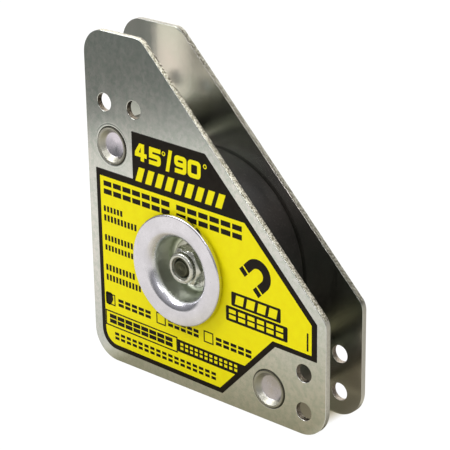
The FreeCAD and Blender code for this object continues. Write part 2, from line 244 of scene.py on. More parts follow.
class Finish:
    """A material made of nodes, with the shader's own sockets set by keyword."""

    def __init__(self, name, **sockets):
        """Starts a named material. A socket's spaces are written as underscores."""
        self.material = bpy.data.materials.new(name)
        self.material.use_nodes = True
        self.tree = self.material.node_tree
        self.shader = self.tree.nodes["Principled BSDF"]
        for key, value in sockets.items():
            self.shader.inputs[key.replace("_", " ")].default_value = value
        self.place = self.node("TexCoord").outputs["Object"]

    def node(self, kind, inputs=None, **settings):
        """A shader node, its inputs given by name or number as values or as sockets to link."""
        made = self.tree.nodes.new("ShaderNode" + kind)
        for key, value in settings.items():
            setattr(made, key, value)
        for key, value in (inputs or {}).items():
            if isinstance(value, bpy.types.NodeSocket):
                self.tree.links.new(value, made.inputs[key])
            else:
                made.inputs[key].default_value = value
        return made

    def math(self, operation, *values):
        """One number worked out from others."""
        return self.node("Math", dict(enumerate(values)), operation=operation).outputs[0]

    def noise(self, scale, detail=3.0, stretch=(1, 1, 1), roughness=0.5):
        """Noise from 0 to 1, with its cells stretched along each axis."""
        mapping = self.node("Mapping", {"Vector": self.place, "Scale": tuple(scale / s for s in stretch)})
        return self.node("TexNoise", {"Vector": mapping.outputs[0], "Scale": 1.0, "Detail": detail,
                                      "Roughness": roughness}).outputs["Fac"]

    def ramp(self, value, low, high, start=0.0, stop=1.0, soft=False):
        """A number moved from one range to another, held at its ends."""
        made = self.node("MapRange", {"Value": value, "From Min": low, "From Max": high,
                                      "To Min": start, "To Max": stop},
                         interpolation_type="SMOOTHSTEP" if soft else "LINEAR")
        return made.outputs["Result"]

    def mix(self, share, one, two):
        """A blend of two colours."""
        made = self.node("Mix", {"Factor": share}, data_type="RGBA")
        for socket, value in ((made.inputs[6], one), (made.inputs[7], two)):
            if isinstance(value, bpy.types.NodeSocket):
                self.tree.links.new(value, socket)
            else:
                socket.default_value = (*value, 1.0)
        return made.outputs[2]

    def bump(self, height, distance, strength=1.0, normal=None):
        """A normal tilted by a height map."""
        inputs = {"Height": height, "Distance": distance, "Strength": strength}
        if normal is not None:
            inputs["Normal"] = normal
        return self.node("Bump", inputs).outputs[0]

    def set(self, **links):
        """Links sockets to the shader."""
        for key, value in links.items():
            self.tree.links.new(value, self.shader.inputs[key.replace("_", " ")])
        return self

    def split(self, vector=None):
        """The three numbers of a vector, of the place by default."""
        return self.node("SeparateXYZ", {0: vector or self.place}).outputs


def plate_finish(name, face_y, inner_y, edge_light):
    """Zinc plated sheet, its face mottled and faintly brushed, and its inner side a little paler.

    The sheared edge is chipped and torn towards the inner side, where its near-black is part fracture and part
    painted shade. Its walls in the holes are painted shade, its faces towards +X carry an even painted light, and
    edge_light is the painted lightness of this plate's edge.
    """
    look = Finish(name, Metallic=1.0)
    grain = look.noise(2600, 4, (1, 1, 28))
    streak = look.noise(420, 3, (1, 1, 14))
    cloud = look.noise(34, 3)
    blotch = look.noise(150, 4)
    spangle = look.noise(520, 4, roughness=0.65)
    chips = look.noise(1900, 5, roughness=0.7)
    y = look.split()[1]

    cool, warm, pale = (0.605, 0.62, 0.605), (0.66, 0.645, 0.62), (0.78, 0.77, 0.75)
    brown, green = (0.50, 0.49, 0.47), (0.51, 0.55, 0.51)
    face = look.mix(look.ramp(cloud, 0.38, 0.62), cool, warm)
    face = look.mix(look.ramp(blotch, 0.35, 0.75, 0.0, 0.14), face, brown)
    face = look.mix(look.ramp(streak, 0.35, 0.7, 0.0, 0.10), face, pale)
    face = look.mix(look.ramp(spangle, 0.4, 0.62, 0.0, 0.75), face, green)
    inner = abs(inner_y)
    inside = look.ramp(look.math("ABSOLUTE", y), inner + 0.2 * MM, inner + 0.4 * MM, 0.8, 0.0)
    face = look.mix(inside, face, look.mix(look.ramp(cloud, 0.4, 0.6), (0.70, 0.73, 0.66), (0.78, 0.74, 0.70)))

    def lit(*colour):
        """A colour of the cut edge, scaled to this plate's painted lightness."""
        return tuple(edge_light * c for c in colour)

    facing = look.split(look.node("NewGeometry").outputs["Normal"])
    edgewise = look.ramp(look.math("ABSOLUTE", facing[1]), 0.35, 0.6, 1.0, 0.0)
    thick = inner_y - face_y
    torn = look.ramp(y, face_y + thick * 0.45, face_y + thick * 0.75)
    sheared = look.mix(look.ramp(chips, 0.42, 0.58), lit(0.21, 0.19, 0.115), lit(0.97, 0.94, 0.80))
    # The inner half of the cut edge: a real rough fracture zone, its near-black colour painted shade from the dark
    # gap.
    ragged = look.mix(look.ramp(chips, 0.45, 0.57), (0.07, 0.06, 0.045), lit(0.70, 0.65, 0.52))
    # Painted light: cut edges that face +X get one even pale tone in place of the sheared look.
    upright = look.ramp(facing[0], 0.85, 0.95, 0.0, 0.75)
    edge = look.mix(upright, look.mix(torn, sheared, ragged), (0.80, 0.78, 0.69))
    flat_place = look.node("VectorMath", {0: look.place, 1: (1, 0, 1)}, operation="MULTIPLY").outputs[0]
    apart = None
    for centre, _ in pair_holes():
        away = look.node("VectorMath", {0: flat_place, 1: (centre.x, 0, centre.y)}, operation="DISTANCE")
        gap = away.outputs["Value"]
        apart = gap if apart is None else look.math("MINIMUM", apart, gap)
    # Painted shade: the cut edge is darkened inside the four through holes.
    hole_wall_shade = look.mix(look.ramp(chips, 0.4, 0.6), (0.13, 0.10, 0.08), (0.34, 0.30, 0.24))
    edge = look.mix(look.ramp(apart, 3.2 * MM, 3.6 * MM), hole_wall_shade, edge)

    rough = look.math("ADD", look.ramp(streak, 0.3, 0.7, 0.155, 0.20), look.ramp(blotch, 0.3, 0.8, 0.0, 0.03))
    rough_edge = look.ramp(chips, 0.3, 0.7, 0.34, 0.52)
    rough = look.math("ADD", rough, look.math("MULTIPLY", edgewise, look.math("SUBTRACT", rough_edge, rough)))
    rugged = look.math("MULTIPLY", edgewise, look.math("SUBTRACT", 1.0, upright))
    normal = look.bump(grain, 0.006 * MM, 0.5)
    normal = look.bump(look.math("MULTIPLY", chips, rugged), 0.14 * MM, 0.9, normal)
    normal = look.bump(look.noise(45, 1), 0.03 * MM, 0.5, normal)
    return look.set(Base_Color=look.mix(edgewise, face, edge), Roughness=rough, Normal=normal).material


def turned_finish(name, dark, light, rough, centre, anisotropy=0.55, core=None, rim=None, head=None):
    """Metal turned about a Y axis: concentric tool marks and a highlight that fans out from the axis.

    A core is the (radius, blend, colour, added roughness) of a disc round the axis, a rim is the
    (radius, blend, colour) of a darker band outside it, and a head is the (Y, colour) of an end in a colour of its
    own.
    """
    pitch, grooves = 0.16 * MM, 0.002 * MM
    look = Finish(name, Metallic=1.0, Anisotropic=anisotropy)
    x, y, z = look.split()[:3]
    across = look.math("SUBTRACT", x, centre.x)
    up = look.math("SUBTRACT", z, centre.y)
    reach = look.math("SQRT", look.math("ADD", look.math("MULTIPLY", across, across),
                                        look.math("MULTIPLY", up, up)))
    rings = look.node("TexNoise", {"W": look.math("DIVIDE", reach, pitch), "Scale": 1.0, "Detail": 3.0},
                      noise_dimensions="1D").outputs["Fac"]
    stain = look.noise(160, 4)
    speck = look.noise(900, 4, roughness=0.65)
    tint = look.mix(look.ramp(stain, 0.35, 0.68), dark, light)
    wear = look.math("ADD", look.ramp(speck, 0.3, 0.75, rough - 0.04, rough + 0.06),
                     look.ramp(stain, 0.3, 0.7, -0.02, 0.04))
    if core:
        radius, blend, colour, added = core
        outside = look.ramp(reach, radius - blend, radius + blend)
        tint = look.mix(outside, colour, tint)
        wear = look.math("ADD", wear, look.ramp(outside, 0.0, 1.0, added, 0.0))
    if rim:
        radius, blend, colour = rim
        tint = look.mix(look.ramp(reach, radius - blend, radius + blend), tint, colour)
    if head:
        start, colour = head
        tint = look.mix(look.ramp(y, start - 0.1 * MM, start), tint, colour)
    tint = look.mix(look.ramp(rings, 0.4, 0.75, 0.0, 0.25), tint, tuple(0.75 * c for c in dark))
    normal = look.bump(rings, grooves, 0.5)
    normal = look.bump(speck, 0.003 * MM, 0.4, normal)
    tangent = look.node("Tangent", direction_type="RADIAL", axis="Y").outputs[0]
    return look.set(Base_Color=tint, Roughness=wear, Normal=normal, Tangent=tangent).material


def ferrite_finish():
    """Sintered ferrite: almost black, dull, with pits and rubbed patches."""
    look = Finish("ferrite", Metallic=0.0, Specular_IOR_Level=0.25)
    cloud, grit = look.noise(70, 4), look.noise(1500, 5, roughness=0.7)
    pits = look.node("TexVoronoi", {"Vector": look.place, "Scale": 900.0}).outputs["Distance"]
    base = look.mix(look.ramp(cloud, 0.35, 0.7), (0.008, 0.007, 0.006), (0.026, 0.021, 0.018))
    base = look.mix(look.ramp(grit, 0.55, 0.75, 0.0, 0.5), base, (0.07, 0.062, 0.055))
    rough = look.ramp(cloud, 0.3, 0.7, 0.42, 0.58)
    normal = look.bump(grit, 0.05 * MM, 0.6)
    normal = look.bump(look.ramp(pits, 0.0, 0.35), 0.05 * MM, 0.35, normal)
    return look.set(Base_Color=base, Roughness=rough, Normal=normal).material


def vinyl_finish(name, colour, shade, rough):
    """Printed vinyl: an even ink with a faint mottle, a slight sheen and an almost flat orange peel."""
    look = Finish(name, Metallic=0.0, Specular_IOR_Level=0.09)
    mottle, peel = look.noise(420, 4), look.noise(1300, 3)
    dots = look.noise(5200, 2)
    ink = look.mix(look.ramp(mottle, 0.35, 0.7, 0.0, 0.6), colour, shade)
    ink = look.mix(look.ramp(dots, 0.5, 0.75, 0.0, 0.3), ink, shade)
    gloss = look.ramp(mottle, 0.3, 0.7, rough - 0.05, rough + 0.07)
    return look.set(Base_Color=ink, Roughness=gloss, Normal=look.bump(peel, 0.006 * MM, 0.4)).material


def nylon_finish():
    """Natural nylon: translucent with cloudy flow marks, its off-white painted dark grey-green as shade deep in the
    nut.
    """
    look = Finish("nylon", Subsurface_Weight=0.2, Subsurface_Scale=0.4 * MM)
    cloud, grit = look.noise(700, 3), look.noise(2600, 3)
    # Painted shade: off-white nylon given a dark base colour.
    base = look.mix(look.ramp(cloud, 0.35, 0.7), (0.13, 0.135, 0.10), (0.26, 0.26, 0.20))
    return look.set(Base_Color=base, Roughness=look.ramp(cloud, 0.3, 0.7, 0.38, 0.52),
                    Normal=look.bump(grit, 0.01 * MM, 0.5)).material


def backdrop_finish():
    """The white behind the holder, which only glows."""
    look = Finish("backdrop_white", Roughness=1.0, Specular_IOR_Level=0.0, Emission_Strength=1.05)
    look.shader.inputs["Base Color"].default_value = (0, 0, 0, 1)
    look.shader.inputs["Emission Color"].default_value = (1, 1, 1, 1)
    return look.material


# ---------------------------------------------------------------- plates

def plate_outline():
    """The holder's outline, anticlockwise seen from the front."""
    x0, z0 = CORNER
    x1, z1 = x0 + WIDE, z0 + TALL
    drop = WIDE - TOP_EDGE
    return fillet(((x0, z0, CORNER_ROUND), (x1, z0, CORNER_ROUND), (x1, z1 - drop, SLOPE_ROUND),
                   (x0 + TOP_EDGE, z1, SLOPE_ROUND), (x0, z1, TOP_CORNER_ROUND)), fine=math.radians(4))


def pair_holes():
    """(centre, radius) of the four through holes, from the row's mounts."""
    holes = []
    for name, key, along in (("upper_hole_pair", "spacing_x_mm", Vector((1, 0))),
                             ("lower_hole_pair", "spacing_y_mm", Vector((0, 1)))):
        mount = MOUNTS[name]
        centre = Vector((mount["pos_m"][0], mount["pos_m"][2]))
        for side in (-0.5, 0.5):
            holes.append((centre + along * mount["dims"][key] * MM * side, mount["dims"]["hole_r_mm"] * MM))
    return holes


def make_plate(node, face_at_low):
    """One side plate, with rolled outer edges, drilled holes and the posts' pressed seats."""
    low, high = depths(node)
    face, back = (low, high) if face_at_low else (high, low)
    mesh = bmesh.new()
    inner = roll(INNER_ROLL, 2)
    loops = [(plate_outline(), roll(FACE_ROLL, 6), inner),
             (ring(HUB, HUB_HOLE, 96, True), roll(HOLE_ROLL, 3), inner)]
    for centre, radius in pair_holes():
        loops.append((ring(centre, radius, 48, True), roll(HOLE_ROLL, 4), inner))
    for post in ("upper_post", "lower_post"):
        loops.append((ring(middle(post), POST_SEAT, 96, True), post_seat(), inner))
    sheet(mesh, loops, face, back)
    # Painted light and shade: the front plate's cut edges are painted lighter and the back plate's darker, on one
    # finish.
    edge_light = 0.78 if face_at_low else 0.42
    finish = plate_finish(node + "_zinc", face, back, edge_light)
    return finish_piece(node + "_sheet", mesh, finish, [node], crease=50, weighted=True)


def post_seat():
    """(inset, depth) pairs round a post, from the flat face down its flared seat."""
    dent = ((2.5, 0), (2.3, 0.012), (2.1, 0.012), (1.9, 0.0))
    flare = ((1.5, 0.0), (1.38, 0.02), (1.3, 0.09), (0.0, 1.3))
    return [(out * MM, drop * MM) for out, drop in dent + flare]


# ---------------------------------------------------------------- magnet, posts, hub

def make_magnet():
    """The ring magnet between the plates."""
    low, high = depths("ring_magnet")
    outer = width("ring_magnet") / 2 / MM
    thick, bore, bevel = (high - low) / MM, 16.0, 0.8
    section = ((bore, bevel), (bore + bevel, 0), (outer - bevel, 0), (outer, bevel), (outer, thick - bevel),
               (outer - bevel, thick), (bore + bevel, thick), (bore, thick - bevel))
    corners = [(radius, depth, 0.3) for radius, depth in section]
    mesh = bmesh.new()
    turned(mesh, profile_mm(corners, y0=low), HUB, 192)
    return finish_piece("magnet_ring", mesh, ferrite_finish(), ["ring_magnet"])


def make_post(node):
    """A spacer post with both ends swaged into dished rivet heads."""
    low, high = depths(node)
    centre = middle(node)
    dish = ((0, 2.35, 0.6), (3.9, 1.72, 0.2), (5.0, 0.3, 0.5))
    lip = ((5.25, 0.05, 0.1), (5.4, 0.12, 0.05), (5.54, 0.02, 0.05), (5.85, 0, 0.12), (6.05, 0.1, 0.1),
           (6.12, 0.42, 0.1))
    shoulder = ((4.9, 1.9, 0.1), (4.9, 2.4, 0.05), (6.35, 2.4, 0.12))
    half = fillet([(r * MM, d * MM, f * MM) for r, d, f in dish + lip + shoulder], closed=False,
                  fine=math.radians(12))
    points = [(p.x, low + p.y) for p in half] + [(p.x, high - p.y) for p in reversed(half)]
    mesh = bmesh.new()
    turned(mesh, points, centre, 128, closed=False)
    finish = turned_finish(node + "_steel", (0.38, 0.37, 0.32), (0.50, 0.49, 0.43), 0.31, centre, anisotropy=0.85,
                           core=(3.9 * MM, 0.25 * MM, (0.70, 0.66, 0.76), -0.03),
                           rim=(5.78 * MM, 0.1 * MM, (0.10, 0.095, 0.075)))
    return finish_piece(node + "_turned", mesh, finish, [node])


def make_cup(node, way, finish):
    """A drawn cup: flange over the plate, lip rolled into a tapered wall, and a flat floor with a hole."""
    low, high = depths(node)
    face = low if way > 0 else high
    deep, skin, rim = (high - low) / MM, SHEET / MM, width(node) / 2 / MM
    floor = deep - skin
    hole, wall, mouth, lip_bend, floor_bend = 3.4, 9.6, 10.35, 3.6, 1.5
    corners = ((hole, floor, 0.12), (wall, floor, floor_bend), (mouth, 0, lip_bend), (rim, 0, 0.55),
               (rim, skin, 0.25), (mouth + skin, skin, lip_bend - skin), (wall + skin, deep, floor_bend + skin),
               (hole, deep, 0.12))
    mesh = bmesh.new()
    turned(mesh, profile_mm(corners, y0=face, way=way, fine=math.radians(6)), HUB, 192)
    return finish_piece(node + "_drawn", mesh, finish, [node])


def make_washer(node, finish):
    """A flat washer with one stamped, rounded side."""
    low, high = depths(node)
    outer, thick = width(node) / 2 / MM, (high - low) / MM
    hole = 3.55
    corners = ((hole, 0, 0.15), (outer, 0, 0.4), (outer, thick, 0.15), (hole, thick, 0.3))
    mesh = bmesh.new()
    turned(mesh, profile_mm(corners, y0=low), HUB, 96)
    return finish_piece(node + "_stamped", mesh, finish, [node])


def hex_ring(mesh, radius, y, hexagonal, sides):
    """A ring of vertices round the hub, cut to the fasteners' hexagon where hexagonal is 1."""
    loop = []
    for k in range(sides):
        angle = TURN * k / sides
        flat = HEX_FLATS / 2 / math.cos(angle % (TURN / 6) - TURN / 12)
        reach = min(radius, flat) if hexagonal else radius
        loop.append(mesh.verts.new((HUB.x + reach * math.cos(angle), y, HUB.y + reach * math.sin(angle))))
    return loop


def make_nut(finish):
    """A nylon insert lock nut: bevelled hexagon, collar and the collar's rolled-in top."""
    base = depths("lock_nut")[1]
    hexagon = ((5.35, 0.0, 1), (6.1, 0.38, 1), (6.42, 0.42, 1), (6.42, 3.72, 1), (6.1, 3.84, 1), (5.35, 4.18, 1))
    collar = ((5.12, 4.24, 0), (5.0, 4.34, 0), (4.95, 4.5, 0), (4.95, 5.25, 0), (4.9, 5.5, 0), (4.72, 5.78, 0),
              (4.45, 5.95, 0), (4.25, 6.0, 0), (3.95, 6.0, 0), (3.75, 5.93, 0), (3.66, 5.8, 0), (3.64, 5.62, 0))
    bore = ((3.9, 5.55, 0), (4.12, 5.5, 0), (4.12, 3.95, 0), (3.35, 3.85, 0), (3.2, 3.6, 0), (3.2, 0.3, 0),
            (3.5, 0.0, 0))
    mesh = bmesh.new()
    rings = [hex_ring(mesh, r * MM, base - d * MM, cut, 144) for r, d, cut in hexagon + collar + bore]
    for one, two in zip(rings, rings[1:] + rings[:1]):
        bridge(mesh, one, two)
    return finish_piece("lock_nut_collared", mesh, finish, ["lock_nut"], crease=28)


def make_insert():
    """The nylon ring in the lock nut, pressed into a shallow dish by the thread."""
    low, high = depths("nut_insert")
    thick = (high - low) / MM
    corners = ((3.2, 0.35, 0.2), (3.62, 0.02, 0.2), (4.08, 0.02, 0.1), (4.08, thick, 0.1), (3.2, thick, 0.1))
    mesh = bmesh.new()
    turned(mesh, profile_mm(corners, y0=low), HUB, 72)
    return finish_piece("insert_ring", mesh, nylon_finish(), ["nut_insert"])


def thread_rings(mesh, low, seat, sides):
    """Rings of vertices up a bolt's cut thread, from its bevelled end to just short of its head."""
    pitch, crest, root = 1.27 * MM, 3.16 * MM, 2.52 * MM
    lead_in, end_radius, bevel = 0.9 * MM, 2.62 * MM, 0.9
    start = low + 0.1 * MM
    length = seat - 0.4 * MM - start
    rows = 150
    rings = []
    for row in range(rows + 1):
        y = start + length * row / rows
        loop = []
        for k in range(sides):
            turn = k / sides
            wave = ((y - low) / pitch - turn) % 1.0
            tooth = min(1.0, max(0.0, 1.35 - abs(wave - 0.5) * 3.2))
            runout = min(1.0, (y - start) / lead_in)
            radius = min(root + (crest - root) * tooth * runout, end_radius + (y - start) * bevel)
            angle = TURN * turn
            loop.append(mesh.verts.new((HUB.x + radius * math.cos(angle), y, HUB.y + radius * math.sin(angle))))
        rings.append(loop)
    return rings


def make_bolt(finish):
    """The hexagon bolt, with a cut thread and a dished end."""
    low, high = depths("clamp_bolt")
    seat, sides = high - BOLT_HEAD, 72
    mesh = bmesh.new()
    shank = thread_rings(mesh, low, seat, sides)
    dish = ((2.3, 0.0), (2.1, 0.0), (1.85, 0.14), (1.6, 0.02), (1.3, 0.15), (1.0, 0.04), (0.7, 0.18), (0.3, 0.1))
    end = [[mesh.verts.new((p.x, low + drop * MM, p.y)) for p in ring(HUB, radius * MM, sides)]
           for radius, drop in reversed(dish)]
    neck = [mesh.verts.new((p.x, seat, p.y)) for p in ring(HUB, 3.15 * MM, sides)]
    head = ((5.3, 0.0, 1), (6.42, 0.12, 1), (6.42, 3.55, 1), (6.1, 3.68, 1), (5.3, 4.0, 1), (4.6, 4.0, 0),
            (4.3, 3.86, 0))
    top = [hex_ring(mesh, radius * MM, seat + rise * MM, cut, sides) for radius, rise, cut in head]
    rings = end + shank + [neck] + top
    for one, two in zip(rings, rings[1:]):
        bridge(mesh, one, two)
    mesh.faces.new(rings[0])
    mesh.faces.new(rings[-1])
    return finish_piece("clamp_bolt_threaded", mesh, finish, ["clamp_bolt"], crease=32)


# ---------------------------------------------------------------- label

LABEL_FACE = depths("front_label")[0]
INK = 0.02 * MM
TILT, LEVEL_AT = 0.018, 42.0                          # the label lies a little clockwise of square

# The label art is in millimetres across and up from the plates' lower left corner.
BORDER = 1.65                                         # black line round the yellow field
MARGIN = 3.5                                          # from the plates' edges to the label
LABEL_TOP = 79.6
STEP_LEFT, STEP_UP = 19.5, 64.2                       # the step round the upper holes and post
NOTCH_LEFT, NOTCH_RIGHT, NOTCH_UP = 55.0, 76.1, 26.0  # the notch round the lower holes and post
SLOPE_SUM = (WIDE + TALL - (WIDE - TOP_EDGE)) / MM - MARGIN * math.sqrt(2)  # across + up along the label's slope
ART_RIGHT = WIDE / MM - MARGIN
BAND_LOW, BAND_HIGH, BAND_END = 11.7, 15.9, 36.6      # the black box's place in the yellow foot


def on_label(u, v):
    """A point of the label art, in millimetres from the plates' lower left corner, in the frame."""
    return CORNER + Vector((u, v - TILT * (u - LEVEL_AT))) * MM


def level(u, z):
    """The height in the label art of a point at a true height."""
    return z + TILT * (u - LEVEL_AT)


def slope_across(total, up):
    """Across at which a slope of true across + up passes a height of the tilted art."""
    return (total - up - LEVEL_AT * TILT) / (1 - TILT)


def label_corners():
    """The label's outline as (across, up, radius) corners, anticlockwise."""
    slope_foot = level(ART_RIGHT, SLOPE_SUM - ART_RIGHT)
    slope_top = slope_across(SLOPE_SUM, LABEL_TOP)
    return ((MARGIN, MARGIN, 6.0), (NOTCH_LEFT, MARGIN, 0), (NOTCH_RIGHT, NOTCH_UP, 0), (ART_RIGHT, NOTCH_UP, 0),
            (ART_RIGHT, slope_foot, 0), (slope_top, LABEL_TOP, 0), (STEP_LEFT, LABEL_TOP, 0),
            (STEP_LEFT, STEP_UP, 0), (MARGIN, STEP_UP, 0))


def art(corners):
    """A closed loop in millimetres of label art from (across, up, radius) corners."""
    return fillet([(*c, 0)[:3] if len(c) == 2 else c for c in corners], fine=math.radians(12))


def rect(left, bottom, right, top, radius=0.0):
    """A rectangle of label art."""
    return art(((left, bottom, radius), (right, bottom, radius), (right, top, radius), (left, top, radius)))


def lean(loop, share, foot):
    """Slants a loop of label art about a height."""
    return [Vector((p.x + (p.y - foot) * share, p.y)) for p in loop]


def shift(loop, across, up):
    """Moves a loop of label art."""
    return [p + Vector((across, up)) for p in loop]


def print_ink(name, shapes, layer, finish):
    """Prints shapes, each a loop with its holes, as a thin film at one layer above the label."""
    mesh = bmesh.new()
    face = LABEL_FACE - INK * layer
    for outer, *holes in shapes:
        loops = []
        for loop, sign in [(outer, 1)] + [(hole, -1) for hole in holes]:
            ordered = loop if area(loop) * sign > 0 else loop[::-1]
            loops.append(([on_label(*p) for p in ordered], [(0.0, 0.0)], [(0.0, 0.0)]))
        sheet(mesh, loops, face, LABEL_FACE - INK * (layer - 1) + INK * 0.1)
    return finish_piece(name, mesh, finish, crease=20)


def digit_four(w, h, t):
    """A numeral 4 as an outline and its hole."""
    a = w - 1.75 * t
    outer = art(((a, 0), (a + t, 0), (a + t, 0.9 * t), (w, 0.9 * t), (w, 1.9 * t), (a + t, 1.9 * t), (a + t, h),
                 (a - 0.45 * t, h), (0, 1.9 * t), (0, 0.9 * t), (a, 0.9 * t)))
    return [outer, art(((1.15 * t, 1.9 * t), (a, 1.9 * t), (a, h - 0.9 * t)))]


def digit_five(w, h, t):
    """A numeral 5 as one outline."""
    r, m = 0.9 * t, h / 2
    return [art(((0, 0, 0.1), (w, 0, r), (w, m + t / 2, r), (t, m + t / 2, 0), (t, h - t, 0), (w - 0.15, h - t, 0),
                 (w - 0.15, h, 0), (0, h, 0), (0, m - t / 2, 0), (w - t, m - t / 2, 0.3 * t), (w - t, t, 0.3 * t),
                 (0, t, 0)))]


def digit_nine(w, h, t):
    """A numeral 9 as an outline and its hole."""
    r, m = 0.9 * t, h / 2
    outer = art(((0.2, 0, 0), (w, 0, r), (w, h, r), (0, h, r), (0, m - t / 2, r), (w - t, m - t / 2, 0),
                 (w - t, t, 0.3 * t), (0.2, t, 0)))
    return [outer, art(((t, m + t / 2, 0.2), (w - t, m + t / 2, 0.2), (w - t, h - t, 0.3), (t, h - t, 0.3)))]


def digit_zero(w, h, t):
    """A numeral 0 as an outline and its hole."""
    return [rect(0, 0, w, h, t), rect(t, t, w - t, h - t, 0.3 * t)]


def place_art(shape, across, up, slant):
    """Moves a shape and its holes into place on the label."""
    return [shift(lean(loop, slant, 0.0), across, up) for loop in shape]


def dot_ring(across, up, outer, inner):
    """A small degree ring."""
    centre = Vector((across, up))
    return [ring(centre, outer, 24), ring(centre, inner, 24)]


def bars(left, right, bottom, top, count, share, split=0.0, slant=0.0):
    """A row of plain bars, each as wide as its share of the pitch and cut into two if a split is given."""
    shapes, pitch = [], (right - left) / count
    height = (top - bottom - split) / 2 if split else top - bottom
    for k in range(count):
        start = left + pitch * k
        for low in ([bottom, top - height] if split else [bottom]):
            bar = rect(start, low, start + pitch * share, low + height)
            shapes.append([lean(bar, slant, bottom)])
    return shapes


def frame_box(left, bottom, right, top, line):
    """A box drawn with a thin line."""
    return [rect(left, bottom, right, top), rect(left + line, bottom + line, right - line, top - line)]


def notch_across(up):
    """Across at which the yellow's edge beside the notch's slant passes a height."""
    rise = (NOTCH_UP - MARGIN) / (NOTCH_RIGHT - NOTCH_LEFT)
    border_across = BORDER * 1.45
    return NOTCH_LEFT + (up - MARGIN) / rise - border_across


def yellow_grounds():
    """The yellow field and the yellow foot below it."""
    right_border, hub_gap, seam_gap = 1.75, 0.6, 0.02
    left, right, top = MARGIN + BORDER, ART_RIGHT - right_border, 62.1
    slope = SLOPE_SUM - BORDER * math.sqrt(2)
    bottom, shelf = MARGIN + BORDER, NOTCH_UP + BORDER
    field = art(((left, BAND_HIGH), (notch_across(BAND_HIGH), BAND_HIGH), (notch_across(shelf), shelf),
                 (right, shelf), (right, level(right, slope - right)), (slope_across(slope, top), top),
                 (left, top)))
    seam = BAND_HIGH - seam_gap
    foot = art(((left, bottom, 4.8), (notch_across(bottom), bottom), (notch_across(BAND_LOW), BAND_LOW),
                (BAND_END, BAND_LOW), (BAND_END, seam), (left, seam)))
    hub_hole = ring((HUB - CORNER) / MM, HUB_HOLE / MM + hub_gap, 96)
    return [[field, hub_hole], [foot]]


def angle_figures():
    """The figures 45 and 90 with degree rings and a stroke between them."""
    wide, tall, stroke, foot, ring_up = 4.9, 5.6, 1.4, 71.0, 75.7
    shapes = [place_art(digit_four(wide, tall, stroke), 20.7, foot, 0.05),
              place_art(digit_five(wide, tall, stroke), 26.6, foot, 0.05),
              place_art(digit_nine(wide, tall, stroke), 37.1, foot, 0.03),
              place_art(digit_zero(5.2, tall, stroke), 42.5, foot, 0.03)]
    shapes += [dot_ring(across, ring_up, 0.72, 0.42) for across in (32.8, 49.5)]
    slash = art(((33.5, 70.4), (34.9, 70.4), (36.4, 77.4), (35.0, 77.4)))
    return shapes + [[slash]]


def black_lines():
    """Black bars, blocks and boxes in the places of the label's lines."""
    shapes = bars(6.6, 35.4, 56.3, 60.7, 7, 0.84, split=1.0) + bars(37.5, 64.4, 56.3, 60.7, 6, 0.84, split=1.0)
    column, pitch = 6.3, 1.4
    for bottom, top, end in ((50.4, 52.3, 14.9), (47.2, 49.3, 20.9), (40.6, 42.6, 19.0), (37.3, 39.2, 19.0),
                             (30.4, 32.5, 19.4), (27.0, 29.1, 21.9)):
        shapes += bars(column, end, bottom, top, round((end - column) / pitch), 0.64)
    box, box_bottom, box_top = 4.0, 18.6, 22.5
    for start, text, end in ((5.8, 11.2, 26.0), (27.8, 32.8, 46.2), (47.7, 52.7, 67.6)):
        shapes.append(frame_box(start, box_bottom, start + box, box_top, 0.42))
        shapes += bars(text, end, 19.1, 21.7, 5, 0.78, split=0.5)
    tick = art(((5.6, 18.6, 1.0), (7.6, 18.4, 1.2), (8.9, 20.6, 1.2), (8.6, 22.8, 0.9), (5.6, 22.9, 0.8)))
    shapes.append([tick])
    shapes.append(frame_box(5.2, 11.1, BAND_END, 16.5, 0.45))
    shapes += bars(7.0, 34.9, 12.3, 15.4, 8, 0.88, split=0.35)
    shapes += bars(9.1, 53.2, 7.0, 9.5, 17, 0.72, split=0.6)
    upright_bar = bars(88.2, 89.0, 28.6, 34.4, 1, 0.8)
    return shapes + upright_bar


def make_label():
    """The vinyl label: black film with a yellow field, angle figures, plain bars and a magnet sign."""
    yellow = vinyl_finish("vinyl_yellow", (0.98, 0.885, 0.006), (0.93, 0.80, 0.005), 0.36)
    black = vinyl_finish("vinyl_black", (0.0085, 0.006, 0.004), (0.018, 0.014, 0.010), 0.34)
    mesh = bmesh.new()
    outline = [on_label(*p) for p in art(label_corners())]
    low, high = depths("front_label")
    hub = ring(HUB, HUB_HOLE + 0.1 * MM, 96, True)
    edge = roll(0.05 * MM, 2)
    sheet(mesh, [(outline, edge, [(0, 0)]), (hub, edge, [(0, 0)])], low, high)
    finish_piece("label_film", mesh, black, ["front_label"], crease=40, weighted=True)

    heading = bars(20.6, 57.4, 64.1, 68.8, 9, 0.62, slant=0.35)
    in_the_box = bars(37.8, 62.0, 12.7, 15.0, 12, 0.6, split=0.55)
    print_ink("label_yellow", yellow_grounds() + angle_figures() + heading + in_the_box, 1, yellow)
    print_ink("label_black", black_lines() + magnet_sign(), 2, black)
    on_blocks = bars(58.2, 80.3, 29.8, 32.9, 6, 0.74, split=0.6) + bars(60.6, 77.9, 35.1, 38.1, 4, 0.72, slant=0.2)
    print_ink("label_marks", on_blocks, 3, yellow)


